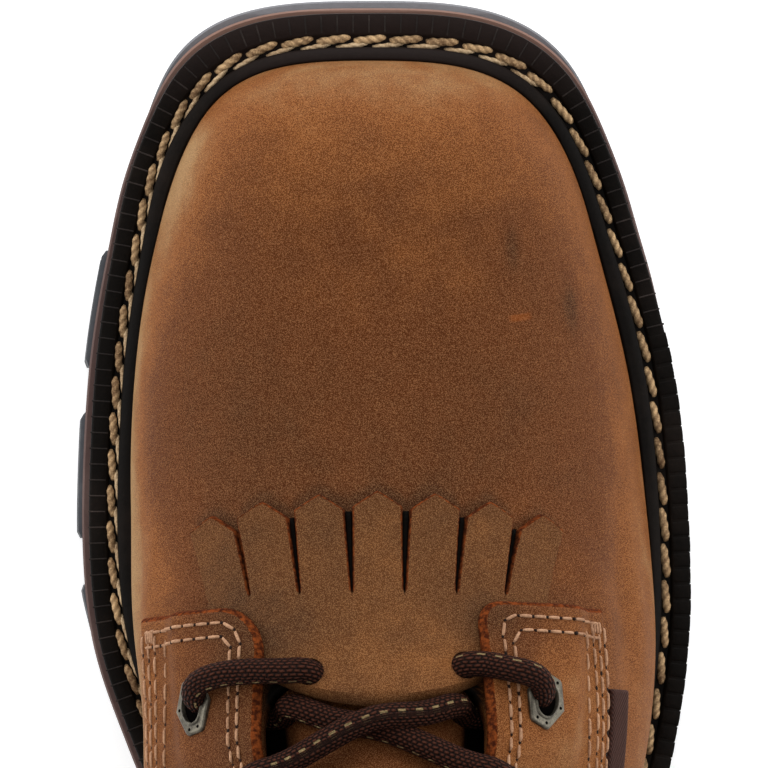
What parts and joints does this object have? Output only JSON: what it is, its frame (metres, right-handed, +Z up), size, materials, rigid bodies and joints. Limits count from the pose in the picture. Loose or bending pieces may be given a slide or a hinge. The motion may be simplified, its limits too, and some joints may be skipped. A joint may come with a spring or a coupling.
{
  "type": "lace-up work boot",
  "caption": "Right lace-up work boot in oiled brown leather with a fringed kiltie, a stitched black welt and a lugged rubber sole with a block heel.",
  "frame": {"origin": "middle of the box round the boot, on the floor that it stands on", "axes": "+Z up, +Y towards the toe, +X towards the outer side of the foot"},
  "size_m": [0.1194, 0.3148, 0.2547],
  "materials": {
    "leather": "oiled, mottled",
    "kiltie_leather": "oiled, raw cut edges",
    "lining": "matt",
    "rubber": "matt",
    "welt_rubber": "satin",
    "midsole_rubber": "satin",
    "lace": "round braid",
    "gunmetal": "satin",
    "tape": "woven, bare"
  },
  "bodies": {
    "root": {"outsole": "rubber", "heel": "rubber", "midsole": "midsole_rubber", "welt": "welt_rubber", "insole": "lining", "upper": "leather", "tongue": "leather", "kiltie": "kiltie_leather", "stay_inner": "leather", "stay_outer": "leather", "side_tag": "tape", "eyelet_inner_1": "gunmetal", "eyelet_inner_2": "gunmetal", "eyelet_inner_3": "gunmetal", "eyelet_inner_4": "gunmetal", "eyelet_inner_5": "gunmetal", "eyelet_inner_6": "gunmetal", "eyelet_inner_7": "gunmetal", "eyelet_inner_8": "gunmetal", "eyelet_inner_9": "gunmetal", "eyelet_outer_1": "gunmetal", "eyelet_outer_2": "gunmetal", "eyelet_outer_3": "gunmetal", "eyelet_outer_4": "gunmetal", "eyelet_outer_5": "gunmetal", "eyelet_outer_6": "gunmetal", "eyelet_outer_7": "gunmetal", "eyelet_outer_8": "gunmetal", "eyelet_outer_9": "gunmetal", "lace_start_inner": "lace", "lace_start_outer": "lace", "lace_crossing_1": "lace", "lace_crossing_2": "lace", "lace_crossing_3": "lace", "lace_crossing_4": "lace", "lace_crossing_5": "lace", "lace_crossing_6": "lace", "lace_crossing_7": "lace", "lace_crossing_8": "lace"}
  },
  "joints": []
}
